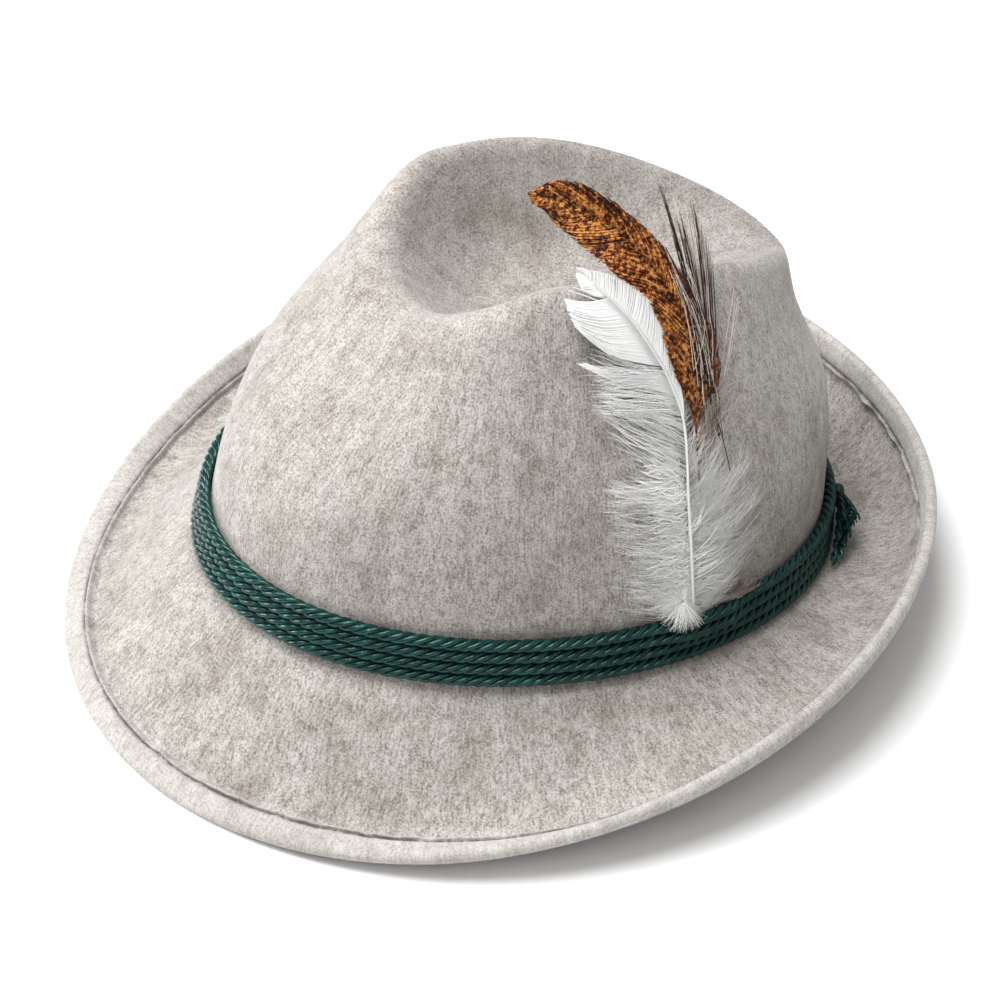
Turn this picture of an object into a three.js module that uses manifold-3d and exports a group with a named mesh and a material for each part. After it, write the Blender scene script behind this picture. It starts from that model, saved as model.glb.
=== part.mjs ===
// Tyrolean hat: a dented felt crown, a brim with a folded edge, a band of twisted cord
// with its loose ends, and a plume of two feathers, barbs and down.
// Millimetres, +Z up. The front of the hat faces -Y and the wearer's left is +X.
// The hat rests on the front edge of the brim and on the felt behind the crown.

import * as THREE from 'three';
import { mergeVertices } from 'three/addons/utils/BufferGeometryUtils.js';
import Module from 'manifold-3d';

const wasm = await Module();
wasm.setup();

// Felt
const felt = 2.2; // thickness of the felt
const hemWidth = 10.6; // width of the edge folded onto the upper face of the brim
const hemFelt = 2.0; // how far that fold stands above the brim

// Foot of the crown, an oval that sits behind the middle of the brim
const headHalfWidth = 84.6;
const headHalfLength = 109.7;
const headBehind = 8.2;
const footFront = 42.5; // heights of the foot above the surface the hat rests on
const footSide = 25.6;
const footBack = 1.6;

// Ridge round the dent of the crown
const ridgeFront = 134.3;
const ridgeSide = 153.1;
const ridgeBack = 108.7;

// Dent
const dentCentre = 14; // how far the lowest point lies behind the middle of the head
const dentFloor = 112; // height of its lowest point

// Brim
const brimHalfWidth = 137.5;
const brimHalfLength = 148.4;
const brimRise = 37; // height of the turned up edge
const brimHandle = 0.38; // length of the curve's handles as a share of its chord

// Cord band
const cordDiameter = 4.0;
const cordRows = 4;
const cordGap = 0.3; // between rows, and between the cord and the felt

// Loose cord ends
const tasselAngle = 161; // degrees from the front, where the cut ends leave the band
const tasselHeight = 13; // above the foot of the crown
const tasselKnot = 2.4; // radius of the binding
const tasselEnd = 0.9; // radius of a cut end

// Plume, at the wearer's left
const plumeAngle = 97.5; // degrees from the front
const tuckHeight = 10; // how high above the foot of the crown the quills begin
const tuckDepth = 2.4; // how far the upper rows of cord bulge over the quills
const tuckAngle = 101.25; // middle of that bulge
const tuckSpread = 8; // half its width, in degrees

// Fineness
const around = 48; // sections round the hat
const cordSides = 8;

// Crown side, from the foot up: height as a share of the way from foot to ridge, and the
// oval's half width, front reach and back reach as shares of the head's
const crownTable = [
  { height: 0.0, width: 1.0, front: 1.0, back: 1.0 },
  { height: 0.5, width: 0.865, front: 0.863, back: 1.029 },
  { height: 0.82, width: 0.662, front: 0.572, back: 0.933 },
  { height: 0.95, width: 0.571, front: 0.456, back: 0.912 },
  { height: 1.0, width: 0.506, front: 0.372, back: 0.897 },
];
const crownRings = [1.0, 0.95, 0.89, 0.82, 0.66, 0.5, 0.34, 0.18, 0.08, 0.0];

// Dent, from its lowest point out: reach as a share of the way to the ridge, and depth
// as a share of the drop from the ridge to the lowest point
const dentTable = [
  { reach: 0.22, depth: 1.0 },
  { reach: 0.42, depth: 0.93 },
  { reach: 0.6, depth: 0.74 },
  { reach: 0.75, depth: 0.46 },
  { reach: 0.87, depth: 0.19 },
  { reach: 0.95, depth: 0.03 },
];

// Brim from front to back: edge height as a share of the rise, and the slope in degrees
// with which the brim meets its edge
const brimTable = [
  { angle: 0, edge: 0.0, slope: -38 },
  { angle: 45, edge: 0.165, slope: 11 },
  { angle: 90, edge: 0.705, slope: 87 },
  { angle: 135, edge: 1.01, slope: 93 },
  { angle: 180, edge: 0.895, slope: 88 },
];
// Slope in degrees with which the brim leaves the crown, at the front, side and back
const brimStart = [-32, -20, -7];
const brimRings = [0.18, 0.36, 0.54, 0.7, 0.86, 1.0];

// Ends of the cord: degrees from the front, distance out from the foot of the crown, and
// height above it
const tasselTable = [
  { angle: 146, out: 13, up: 16 },
  { angle: 146, out: 11.3, up: 12.6 },
  { angle: 144.5, out: 10.6, up: 9.6 },
  { angle: 142.5, out: 9.6, up: 7 },
  { angle: 141, out: 9, up: 4.2 },
  { angle: 139.5, out: 7.2, up: 3 },
  { angle: 143, out: 7.6, up: 10 },
  { angle: 146, out: 8.2, up: 14.6 },
];

// Shafts of the plume, from the band to the tip. Back is along the felt towards the back
// of the hat, up is the height above the foot of the crown and out is away from the felt.
// Fore and aft are the widths of the vane on each side.
const whiteShaft = [
  { back: 2, up: tuckHeight, out: 1.5, fore: 0, aft: 0 },
  { back: 2, up: 17, out: 1.6, fore: 0, aft: 0 },
  { back: 1.2, up: 23, out: 4.9, fore: 0, aft: 0 },
  { back: 2.5, up: 60, out: 4.7, fore: 0, aft: 0 },
  { back: 6.5, up: 87, out: 4.7, fore: 2, aft: 2 },
  { back: 4.5, up: 101, out: 4.7, fore: 7, aft: 6 },
  { back: -2.2, up: 115, out: 4.3, fore: 14, aft: 10 },
  { back: -8, up: 123, out: 3.4, fore: 16, aft: 11 },
  { back: -18, up: 134, out: 1, fore: 4, aft: 4 },
];
const brownShaft = [
  { back: 6, up: tuckHeight, out: 1.5, fore: 0, aft: 0 },
  { back: 6, up: 17, out: 1.6, fore: 0, aft: 0 },
  { back: 6.5, up: 23, out: 4.9, fore: 0, aft: 0 },
  { back: 9, up: 60, out: 4.7, fore: 0, aft: 0 },
  { back: 11.3, up: 88, out: 6.4, fore: 3, aft: 3 },
  { back: 15, up: 97, out: 6.8, fore: 8, aft: 8 },
  { back: 16.7, up: 108, out: 6.6, fore: 10.5, aft: 11 },
  { back: 15.8, up: 118, out: 5.6, fore: 8, aft: 8 },
  { back: 10, up: 136, out: 0.5, fore: 12, aft: 12 },
  { back: -0.5, up: 149, out: -9, fore: 9, aft: 10 },
  { back: -15.5, up: 154.5, out: -18, fore: 2, aft: 2 },
];
const downShaft = [
  { back: 10, up: tuckHeight, out: 1.5, fore: 0, aft: 0 },
  { back: 10, up: 20, out: 1.7, fore: 2, aft: 2 },
  { back: 8, up: 26, out: 2.2, fore: 20, aft: 15 },
  { back: 7, up: 45, out: 2.2, fore: 29, aft: 26 },
  { back: 7, up: 66, out: 2.2, fore: 26, aft: 17 },
  { back: 8, up: 82, out: 2.2, fore: 12, aft: 8 },
];
const wispShaft = [
  { back: 13.5, up: tuckHeight, out: 1.3, fore: 0, aft: 0 },
  { back: 13.5, up: 17, out: 1.4, fore: 0, aft: 0 },
  { back: 14.5, up: 23, out: 4.7, fore: 0, aft: 0 },
  { back: 18, up: 60, out: 4.7, fore: 0, aft: 0 },
  { back: 20, up: 90, out: 4, fore: 0, aft: 0 },
];
// Tips of the loose barbs that leave the end of that shaft
const wispTips = [
  { back: 35, up: 156, out: -2 },
  { back: 36, up: 141, out: 1 },
  { back: 42, up: 150, out: 0 },
  { back: 54, up: 151, out: 2 },
  { back: 50, up: 138, out: 3 },
  { back: 48, up: 117, out: 4 },
  { back: 31, up: 128, out: 3 },
];
const quillRadius = 0.75;
const quillTaper = 0.6; // radius at the tip as a share of that at the foot
const vaneThickness = 0.8;
const vaneEnd = 0.995; // share of the shaft where the vane ends
const downThickness = 2.2;
const barbWidth = 1.2;
const barbTaper = 0.4;
const barbLead = 0.45; // how far a barb's tip lies ahead of its root, as a share of its reach
const lockNotch = 0.8; // reach of the vane between two locks, as a share of a lock's
const wispLeave = 0.96; // share of their shaft where the loose barbs leave it
const wispBow = 0.12; // how far a loose barb bows towards the front, as a share of its reach
const wispClear = 2.4; // least distance of a loose barb's middle from the felt

// Materials
const feltGrey = new THREE.MeshStandardMaterial({ color: 0xb9b2aa, roughness: 0.95, metalness: 0 });
const cordGreen = new THREE.MeshStandardMaterial({ color: 0x12332f, roughness: 0.7, metalness: 0 });
const featherWhite = new THREE.MeshStandardMaterial({ color: 0xf2f1ef, roughness: 0.8, metalness: 0 });
const featherBrown = new THREE.MeshStandardMaterial({ color: 0x7a4a25, roughness: 0.75, metalness: 0 });

const radians = THREE.MathUtils.degToRad;
const lerp = THREE.MathUtils.lerp;

// Smooth even function of the angle from the front that takes the given values at equal
// steps from front to back
function evenCurve(values, angle) {
  const last = values.length - 1;
  let sum = 0;
  for (let k = 0; k <= last; k++) {
    let coefficient = 0;
    values.forEach((value, j) => {
      const weight = j === 0 || j === last ? 0.5 : 1;
      coefficient += (2 / last) * weight * value * Math.cos((k * j * Math.PI) / last);
    });
    if (k === 0 || k === last) coefficient /= 2;
    sum += coefficient * Math.cos(k * angle);
  }
  return sum;
}

// Smooth curve through a table's rows, read at a given value of its first column
function tableCurve(rows, key, column, at) {
  const points = rows.map((row) => new THREE.Vector2(row[key], row[column]));
  let i = 0;
  while (i < points.length - 2 && points[i + 1].x < at) i++;
  const [a, b] = [points[i], points[i + 1]];
  const slopeOf = (k) => {
    const before = points[Math.max(k - 1, 0)];
    const after = points[Math.min(k + 1, points.length - 1)];
    return (after.y - before.y) / (after.x - before.x);
  };
  const span = b.x - a.x;
  const t = (at - a.x) / span;
  const [startSlope, endSlope] = [slopeOf(i) * span, slopeOf(i + 1) * span];
  return (
    (2 * t ** 3 - 3 * t ** 2 + 1) * a.y +
    (t ** 3 - 2 * t ** 2 + t) * startSlope +
    (3 * t ** 2 - 2 * t ** 3) * b.y +
    (t ** 3 - t ** 2) * endSlope
  );
}

const footHeight = (angle) => evenCurve([footFront, footSide, footBack], angle);
const ridgeHeight = (angle) => evenCurve([ridgeFront, ridgeSide, ridgeBack], angle);

// Point on the outside of the crown's side
function crownPoint(angle, share) {
  const width = headHalfWidth * tableCurve(crownTable, 'height', 'width', share);
  const forward = Math.cos(angle) > 0;
  const reach = headHalfLength * tableCurve(crownTable, 'height', forward ? 'front' : 'back', share);
  return new THREE.Vector3(
    width * Math.sin(angle),
    headBehind - reach * Math.cos(angle),
    lerp(footHeight(angle), ridgeHeight(angle), share),
  );
}

// Point in the dent of the crown
function dentPoint(angle, reach, depth) {
  const lowest = new THREE.Vector3(0, headBehind + dentCentre, dentFloor);
  const ridge = crownPoint(angle, 1);
  const point = lowest.clone().lerp(ridge, reach);
  point.z = lerp(ridge.z, dentFloor, depth);
  return point;
}

// Upper face of the brim at one angle, as a curve from the crown to the edge
function brimCurve(angle) {
  const foot = crownPoint(angle, 0);
  const edgeShare = evenCurve(brimTable.map((row) => row.edge), angle);
  const edge = new THREE.Vector3(
    brimHalfWidth * Math.sin(angle),
    -brimHalfLength * Math.cos(angle),
    brimRise * edgeShare,
  );
  const out = edge.clone().sub(foot).setZ(0).normalize();
  const handle = brimHandle * edge.distanceTo(foot);
  const start = radians(evenCurve(brimStart, angle));
  const end = radians(evenCurve(brimTable.map((row) => row.slope), angle));
  const towards = (slope) =>
    out.clone().multiplyScalar(Math.cos(slope)).setZ(Math.sin(slope)).multiplyScalar(handle);
  return new THREE.CubicBezierCurve3(
    foot,
    foot.clone().add(towards(start)),
    edge.clone().sub(towards(end)),
    edge,
  );
}

const angles = Array.from({ length: around }, (_, j) => (2 * Math.PI * j) / around);

// Ring round the brim at a distance along its curves that a function of the length gives
const curves = angles.map(brimCurve);
const brimRing = (distance) =>
  curves.map((curve) => {
    const length = curve.getLength();
    return curve.getPointAt(distance(length) / length);
  });

const rollRadius = (felt + hemFelt) / 2;
const crown = crownRings.map((share) => angles.map((angle) => crownPoint(angle, share)));
const dent = dentTable.map((row) => angles.map((angle) => dentPoint(angle, row.reach, row.depth)));
const plainBrim = brimRings.map((share) => brimRing((length) => share * (length - hemWidth)));
const hem = [hemWidth / 2, rollRadius].map((inset) => brimRing((length) => length - inset));
const face = [...dent, ...crown, ...plainBrim, ...hem];

// Outward normal of the upper face at each of its points, lengthened at a bend so that an
// offset face stays the same distance from the faces on both sides of it
const normals = face.map((ring, i) =>
  ring.map((point, j) => {
    const before = face[Math.max(i - 1, 0)][j];
    const after = face[Math.min(i + 1, face.length - 1)][j];
    const arrive = (i > 0 ? point.clone().sub(before) : after.clone().sub(point)).normalize();
    const leave = (point === after ? arrive : after.clone().sub(point)).clone().normalize();
    const outward = arrive.add(leave);
    const bend = 2 / outward.length();
    const round = ring[(j + 1) % around].clone().sub(ring[(j + around - 1) % around]);
    return outward.cross(round).normalize().multiplyScalar(bend);
  }),
);
const offsetRing = (i, height) =>
  face[i].map((point, j) => point.clone().addScaledVector(normals[i][j], height));

// Round edge of the folded brim: a half circle from the top of the fold to the underside
function edgeRoll() {
  const last = face.length - 1;
  const steps = 5;
  const rings = [];
  for (let k = 1; k < steps; k++) {
    const turn = Math.PI / 2 - (Math.PI * k) / steps;
    rings.push(
      face[last].map((point, j) => {
        const normal = normals[last][j];
        const tangent = point.clone().sub(face[last - 1][j]).normalize();
        return point
          .clone()
          .addScaledVector(normal, (hemFelt - felt) / 2 + rollRadius * Math.sin(turn))
          .addScaledVector(tangent, rollRadius * Math.cos(turn));
      }),
    );
  }
  return rings;
}

// Closed mesh from rings of equal count, each round the same axis, with a point at both ends
function closeRings(first, rings, last) {
  const positions = [first, ...rings.flat(), last].flatMap((point) => point.toArray());
  const count = rings[0].length;
  const id = (i, j) => 1 + i * count + (j % count);
  const end = 1 + rings.length * count;
  const faces = [];
  for (let j = 0; j < count; j++) {
    faces.push(0, id(0, j), id(0, j + 1));
    for (let i = 0; i < rings.length - 1; i++) {
      faces.push(id(i, j), id(i + 1, j), id(i + 1, j + 1));
      faces.push(id(i, j), id(i + 1, j + 1), id(i, j + 1));
    }
    faces.push(id(rings.length - 1, j), end, id(rings.length - 1, j + 1));
  }
  const geometry = new THREE.BufferGeometry();
  geometry.setAttribute('position', new THREE.Float32BufferAttribute(positions, 3));
  geometry.setIndex(faces);
  return geometry;
}

// Felt body: the upper face, the fold with its round edge, and the inside one felt below
function feltBody() {
  const hemStart = face.length - hem.length - 1;
  const top = face.slice(0, hemStart + 1);
  const fold = [];
  for (let i = hemStart; i < face.length; i++) fold.push(offsetRing(i, hemFelt));
  const inside = face.map((_, i) => offsetRing(i, -felt)).reverse();
  const rings = [...top, ...fold, ...edgeRoll(), ...inside];
  const resting = rings.map((ring) => ring.map((point) => point.clone().setZ(Math.max(point.z, 0))));
  const lowest = new THREE.Vector3(0, headBehind + dentCentre, dentFloor);
  const under = lowest.clone().setZ(dentFloor - felt);
  return closeRings(lowest, resting, under);
}

// One row of the cord band: a closed tube round the foot of the crown
function cordRow(row) {
  const radius = cordDiameter / 2;
  const up = radius + cordGap + row * (cordDiameter + cordGap);
  const overQuills = up + radius > tuckHeight;
  const rings = angles.map((angle) => {
    const aside = (angle - radians(tuckAngle)) / radians(tuckSpread);
    const bulge = overQuills ? tuckDepth * Math.exp(-(aside ** 4)) : 0;
    const foot = crownPoint(angle, 0);
    const above = crownPoint(angle, 0.18);
    const climb = above.clone().sub(foot).normalize();
    const round = crownPoint(angle + 0.01, 0).sub(crownPoint(angle - 0.01, 0)).normalize();
    const out = round.clone().cross(climb).normalize();
    const side = out.clone().cross(round).normalize();
    const centre = foot.addScaledVector(climb, up).addScaledVector(out, radius + cordGap + bulge);
    return Array.from({ length: cordSides }, (_, k) => {
      const turn = (2 * Math.PI * (k + 0.5)) / cordSides;
      return centre
        .clone()
        .addScaledVector(out, radius * Math.cos(turn))
        .addScaledVector(side, radius * Math.sin(turn));
    });
  });
  const faces = [];
  const id = (i, k) => (i % around) * cordSides + (k % cordSides);
  for (let i = 0; i < around; i++) {
    for (let k = 0; k < cordSides; k++) {
      faces.push(id(i, k), id(i + 1, k), id(i + 1, k + 1));
      faces.push(id(i, k), id(i + 1, k + 1), id(i, k + 1));
    }
  }
  const geometry = new THREE.BufferGeometry();
  const positions = rings.flat().flatMap((point) => point.toArray());
  geometry.setAttribute('position', new THREE.Float32BufferAttribute(positions, 3));
  geometry.setIndex(faces);
  return geometry;
}

// Closed sweep through stations that give a middle, the across and deep directions and
// half the width and depth there
function sweep(stations, sides) {
  const grow = 1 / Math.cos(Math.PI / sides);
  const rings = stations.map((station) =>
    Array.from({ length: sides }, (_, k) => {
      const turn = (2 * Math.PI * (k + 0.5)) / sides;
      return station.middle
        .clone()
        .addScaledVector(station.across, grow * station.width * Math.cos(turn))
        .addScaledVector(station.deep, grow * station.depth * Math.sin(turn));
    }),
  );
  const first = stations[0].middle;
  const last = stations[stations.length - 1].middle;
  return closeRings(first, rings, last);
}

// Stations along a list of points, with the deep direction as near as possible to a given one
function stationsAlong(points, deeps, widths, depths) {
  return points.map((point, i) => {
    const before = points[Math.max(i - 1, 0)];
    const after = points[Math.min(i + 1, points.length - 1)];
    const along = after.clone().sub(before).normalize();
    const across = along.clone().cross(deeps[i]).normalize();
    const deep = across.clone().cross(along).normalize();
    return { middle: point, across, deep, width: widths[i], depth: depths[i] };
  });
}

// One solid from overlapping closed geometries
function fuse(geometries) {
  const solids = geometries.map((geometry) => {
    const merged = mergeVertices(geometry);
    const vertProperties = merged.getAttribute('position').array;
    const triVerts = new Uint32Array(merged.index.array);
    return new wasm.Manifold(new wasm.Mesh({ numProp: 3, vertProperties, triVerts }));
  });
  const joined = solids.reduce((sum, solid) => sum.add(solid));
  const mesh = joined.getMesh();
  const geometry = new THREE.BufferGeometry();
  geometry.setAttribute('position', new THREE.BufferAttribute(mesh.vertProperties, 3));
  geometry.setIndex(new THREE.BufferAttribute(mesh.triVerts, 1));
  return geometry;
}

// Straight continuation of the crown's side above this share of its height
const plumeLeaves = 0.74;
function plumeSurface(angle, share) {
  if (share <= plumeLeaves) return crownPoint(angle, share);
  const step = 0.04;
  const point = crownPoint(angle, plumeLeaves);
  const below = crownPoint(angle, plumeLeaves - step);
  const climb = point.clone().sub(below).divideScalar(step);
  return point.addScaledVector(climb, share - plumeLeaves);
}

// Where a point of the plume lies, and the direction away from the felt there
function plumePlace({ x: back, y: up, z: out }) {
  const middle = radians(plumeAngle);
  const angle = middle + back / headHalfLength;
  const share = up / (ridgeHeight(middle) - footHeight(middle));
  const small = 0.01;
  const round = plumeSurface(angle + small, share).sub(plumeSurface(angle - small, share));
  const climb = plumeSurface(angle, share + small).sub(plumeSurface(angle, share - small));
  const normal = round.cross(climb).normalize();
  return { point: plumeSurface(angle, share).addScaledVector(normal, out), normal };
}

// Strip along a few plume coordinates, tapering to its end
function strip(coordinates, halfWidth, halfDepth, sides, taper) {
  const places = coordinates.map(plumePlace);
  const shares = coordinates.map((_, i) => i / (coordinates.length - 1));
  return sweep(
    stationsAlong(
      places.map((place) => place.point),
      places.map((place) => place.normal),
      shares.map((share) => halfWidth * lerp(1, taper, share)),
      shares.map((share) => halfDepth * lerp(1, taper, share)),
    ),
    sides,
  );
}

const routeOf = (rows) =>
  new THREE.CatmullRomCurve3(rows.map((row) => new THREE.Vector3(row.back, row.up, row.out)));

// Vane on both sides of a shaft, with an edge that falls into locks
function vane(route, rows, thickness, locks) {
  const firstVane = rows.findIndex((row) => row.fore > 0);
  const start = firstVane / (rows.length - 1);
  const stations = 2 * locks;
  const reachOf = (side, t) => {
    const at = t * (rows.length - 1);
    const row = Math.min(Math.floor(at), rows.length - 2);
    return lerp(rows[row][side], rows[row + 1][side], at - row);
  };
  const ringAt = (i) => {
    const t = lerp(start, vaneEnd, i / stations);
    const middle = route.getPoint(t);
    const along = route.getTangent(t).setZ(0).normalize();
    const fore = new THREE.Vector3(-along.y, along.x, 0);
    const lock = i % 2 === 0 ? lockNotch : 1;
    const placeAt = (side, share) => {
      const reach = share * lock * reachOf(side, t);
      const aside = side === 'fore' ? reach : -reach;
      const at = middle.clone().addScaledVector(fore, aside).addScaledVector(along, barbLead * reach);
      return plumePlace(at);
    };
    const across = [placeAt('fore', 0.5), plumePlace(middle), placeAt('aft', 0.5)];
    const top = across.map((place) => place.point.clone().addScaledVector(place.normal, thickness / 2));
    const under = across.map((place) => place.point.clone().addScaledVector(place.normal, -thickness / 2));
    return [placeAt('fore', 1).point, ...under, placeAt('aft', 1).point, ...top.reverse()];
  };
  const rings = Array.from({ length: stations + 1 }, (_, i) => ringAt(i));
  const ends = [route.getPoint(start), route.getPoint(vaneEnd)].map((at) => plumePlace(at).point);
  return closeRings(ends[0], rings, ends[1]);
}

// Feather: a shaft with a vane
function feather(rows, thickness, locks) {
  const route = routeOf(rows);
  const shaft = strip(route.getPoints(rows.length + 4), quillRadius, quillRadius, 6, quillTaper);
  return fuse([shaft, vane(route, rows, thickness, locks)]);
}

// Loose barbs fused to one shaft
function wisps() {
  const route = routeOf(wispShaft);
  const pieces = [strip(route.getPoints(wispShaft.length + 3), quillRadius, quillRadius, 6, 0.8)];
  const root = route.getPoint(wispLeave);
  for (const tip of wispTips) {
    const end = new THREE.Vector3(tip.back, tip.up, tip.out);
    const middle = root.clone().lerp(end, 0.5);
    middle.x -= wispBow * (end.x - root.x);
    middle.z = Math.max(middle.z, wispClear);
    const curve = new THREE.QuadraticBezierCurve3(root, middle, end);
    pieces.push(strip(curve.getPoints(3), barbWidth / 2, barbWidth / 2, 4, barbTaper));
  }
  return fuse(pieces);
}

// Cut ends of the cord, bound together where they leave the band
function tassel() {
  const place = ({ angle, out, up }) => {
    const turn = radians(angle);
    const foot = crownPoint(turn, 0);
    const away = new THREE.Vector3(
      Math.sin(turn) / headHalfWidth,
      -Math.cos(turn) / headHalfLength,
      0,
    ).normalize();
    return foot.addScaledVector(away, out).add(new THREE.Vector3(0, 0, up));
  };
  const knotOut = cordGap + cordDiameter + cordGap + tasselKnot;
  const knot = { angle: tasselAngle, out: knotOut, up: tasselHeight };
  const binding = new THREE.SphereGeometry(tasselKnot, 8, 6);
  binding.deleteAttribute('normal');
  binding.deleteAttribute('uv');
  const centre = place(knot);
  binding.translate(centre.x, centre.y, centre.z);
  const pieces = [binding];
  for (const end of tasselTable) {
    const half = { angle: (knot.angle + end.angle) / 2, out: end.out, up: (knot.up + end.up) / 2 + 1 };
    half.out = Math.max((knot.out + end.out) / 2, knotOut - tasselKnot + tasselEnd + cordGap);
    const curve = new THREE.QuadraticBezierCurve3(centre, place(half), place(end));
    const points = curve.getPoints(3);
    const upright = points.map(() => new THREE.Vector3(0, 0, 1));
    const radii = points.map(() => tasselEnd);
    pieces.push(sweep(stationsAlong(points, upright, radii, radii), 5));
  }
  return fuse(pieces);
}

const hat = new THREE.Group();
const add = (name, geometry, material) => {
  const mesh = new THREE.Mesh(geometry, material);
  mesh.name = name;
  hat.add(mesh);
};
add('felt_body', feltBody(), feltGrey);
for (let row = 0; row < cordRows; row++) add(`cord_strand_${row + 1}`, cordRow(row), cordGreen);
add('cord_tassel', tassel(), cordGreen);
add('white_feather', feather(whiteShaft, vaneThickness, 9), featherWhite);
add('brown_feather', feather(brownShaft, vaneThickness, 10), featherBrown);
add('down_tuft', feather(downShaft, downThickness, 7), featherWhite);
add('brown_wisps', wisps(), featherBrown);

// The origin is on the surface the hat rests on, in the middle of its outline
const outline = new THREE.Box3().setFromObject(hat);
const outlineMiddle = outline.getCenter(new THREE.Vector3());
hat.position.set(-outlineMiddle.x, -outlineMiddle.y, -outline.min.z);

export default hat;
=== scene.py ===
"""Tyrolean hat: pressed felt, a band of four twisted cords with their loose ends, and a plume of two feathers,
down and loose barbs. Sizes in the tables are millimetres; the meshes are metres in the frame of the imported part."""

import math  # noqa: E402

import bmesh  # noqa: E402
import bpy  # noqa: E402
import numpy as np  # noqa: E402
from mathutils import Matrix, Vector  # noqa: E402


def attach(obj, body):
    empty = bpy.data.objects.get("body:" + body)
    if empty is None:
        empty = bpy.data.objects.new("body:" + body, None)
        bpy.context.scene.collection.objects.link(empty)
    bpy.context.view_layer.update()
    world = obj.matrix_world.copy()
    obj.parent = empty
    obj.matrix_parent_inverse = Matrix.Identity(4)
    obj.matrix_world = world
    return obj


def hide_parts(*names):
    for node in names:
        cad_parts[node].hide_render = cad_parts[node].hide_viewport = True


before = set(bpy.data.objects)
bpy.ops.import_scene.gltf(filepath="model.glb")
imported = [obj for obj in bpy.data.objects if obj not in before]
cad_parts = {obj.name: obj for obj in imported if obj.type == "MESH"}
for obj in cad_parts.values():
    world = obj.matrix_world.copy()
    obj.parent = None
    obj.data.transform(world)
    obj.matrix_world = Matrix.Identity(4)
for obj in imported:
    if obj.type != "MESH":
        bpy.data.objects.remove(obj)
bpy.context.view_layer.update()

MM = 0.001
TURN = 2 * math.pi

# Felt
FELT = 2.2
HEM_WIDTH = 10.6
HEM_FELT = 2.0
HEAD_HALF_WIDTH = 84.6
HEAD_HALF_LENGTH = 109.7
HEAD_BEHIND = 8.2
FOOT = [42.5, 25.6, 1.6]
RIDGE = [134.3, 153.1, 108.7]
DENT_CENTRE = 14
DENT_FLOOR = 112
BRIM_HALF_WIDTH = 137.5
BRIM_HALF_LENGTH = 148.4
BRIM_RISE = 37
BRIM_HANDLE = 0.38
CROWN_TABLE = [
    (0.0, 1.0, 1.0, 1.0),
    (0.5, 0.865, 0.863, 1.029),
    (0.82, 0.662, 0.572, 0.933),
    (0.95, 0.571, 0.456, 0.912),
    (1.0, 0.506, 0.372, 0.897),
]
DENT_TABLE = [(0, 1.02), (0.22, 1.0), (0.42, 0.93), (0.6, 0.74), (0.75, 0.46), (0.87, 0.19), (0.95, 0.03), (1, 0)]
BRIM_EDGE = [0.0, 0.165, 0.705, 1.01, 0.895]
BRIM_SLOPE = [-38, 11, 87, 93, 88]
BRIM_START = [-32, -20, -7]

# Cord
CORD_DIAMETER = 4.0
CORD_GAP = 0.3
CORD_ROWS = 4
PLIES = 4
LAY = 16.8
TUCK_HEIGHT = 10
TUCK_DEPTH = 2.4
TUCK_ANGLE = 101.25
TUCK_SPREAD = 8

PLUME_ANGLE = 97.5
PLUME_LEAVES = 0.74


def even_curve(values, angle):
    """Smooth even function of the angle that takes the values at equal steps from front to back."""
    last = len(values) - 1
    total = 0
    for k in range(last + 1):
        c = sum((2 / last) * (0.5 if j in (0, last) else 1) * v * math.cos(k * j * math.pi / last) for j, v in enumerate(values))
        total = total + (c / 2 if k in (0, last) else c) * np.cos(k * angle)
    return total


def table_curve(rows, column, at):
    """Smooth curve through a column of a table, read at values of its first column."""
    x = np.array([r[0] for r in rows], float)
    y = np.array([r[column] for r in rows], float)
    before = np.maximum(np.arange(len(x)) - 1, 0)
    after = np.minimum(np.arange(len(x)) + 1, len(x) - 1)
    slope = (y[after] - y[before]) / (x[after] - x[before])
    at = np.asarray(at, float)
    i = np.clip(np.searchsorted(x, at, side="left") - 1, 0, len(x) - 2)
    span = x[i + 1] - x[i]
    t = (at - x[i]) / span
    return (
        (2 * t**3 - 3 * t**2 + 1) * y[i]
        + (t**3 - 2 * t**2 + t) * slope[i] * span
        + (3 * t**2 - 2 * t**3) * y[i + 1]
        + (t**3 - t**2) * slope[i + 1] * span
    )


def unit(v):
    return v / np.maximum(np.linalg.norm(v, axis=-1, keepdims=True), 1e-9)


def crown_point(angle, share):
    """Point on the outside of the crown's side."""
    angle, share = np.broadcast_arrays(np.asarray(angle, float), np.asarray(share, float))
    width = HEAD_HALF_WIDTH * table_curve(CROWN_TABLE, 1, share)
    front = np.cos(angle) > 0
    reach = HEAD_HALF_LENGTH * np.where(front, table_curve(CROWN_TABLE, 2, share), table_curve(CROWN_TABLE, 3, share))
    foot, ridge = even_curve(FOOT, angle), even_curve(RIDGE, angle)
    return np.stack(
        [width * np.sin(angle), HEAD_BEHIND - reach * np.cos(angle), foot + (ridge - foot) * share], axis=-1
    )


def brim_curve(angle, steps=120):
    """Upper face of the brim at one angle, from the crown to the edge."""
    foot = crown_point(angle, 0.0)
    edge = np.array(
        [BRIM_HALF_WIDTH * math.sin(angle), -BRIM_HALF_LENGTH * math.cos(angle), BRIM_RISE * even_curve(BRIM_EDGE, angle)]
    )
    out = unit((edge - foot) * [1, 1, 0])
    handle = BRIM_HANDLE * np.linalg.norm(edge - foot)
    start = math.radians(even_curve(BRIM_START, angle))
    end = math.radians(even_curve(BRIM_SLOPE, angle))
    towards = lambda s: (out * math.cos(s) + np.array([0, 0, math.sin(s)])) * handle  # noqa: E731
    points = [foot, foot + towards(start), edge - towards(end), edge]
    t = np.linspace(0, 1, steps)[:, None]
    return sum(w * p for w, p in zip([(1 - t) ** 3, 3 * t * (1 - t) ** 2, 3 * t**2 * (1 - t), t**3], points))


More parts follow.
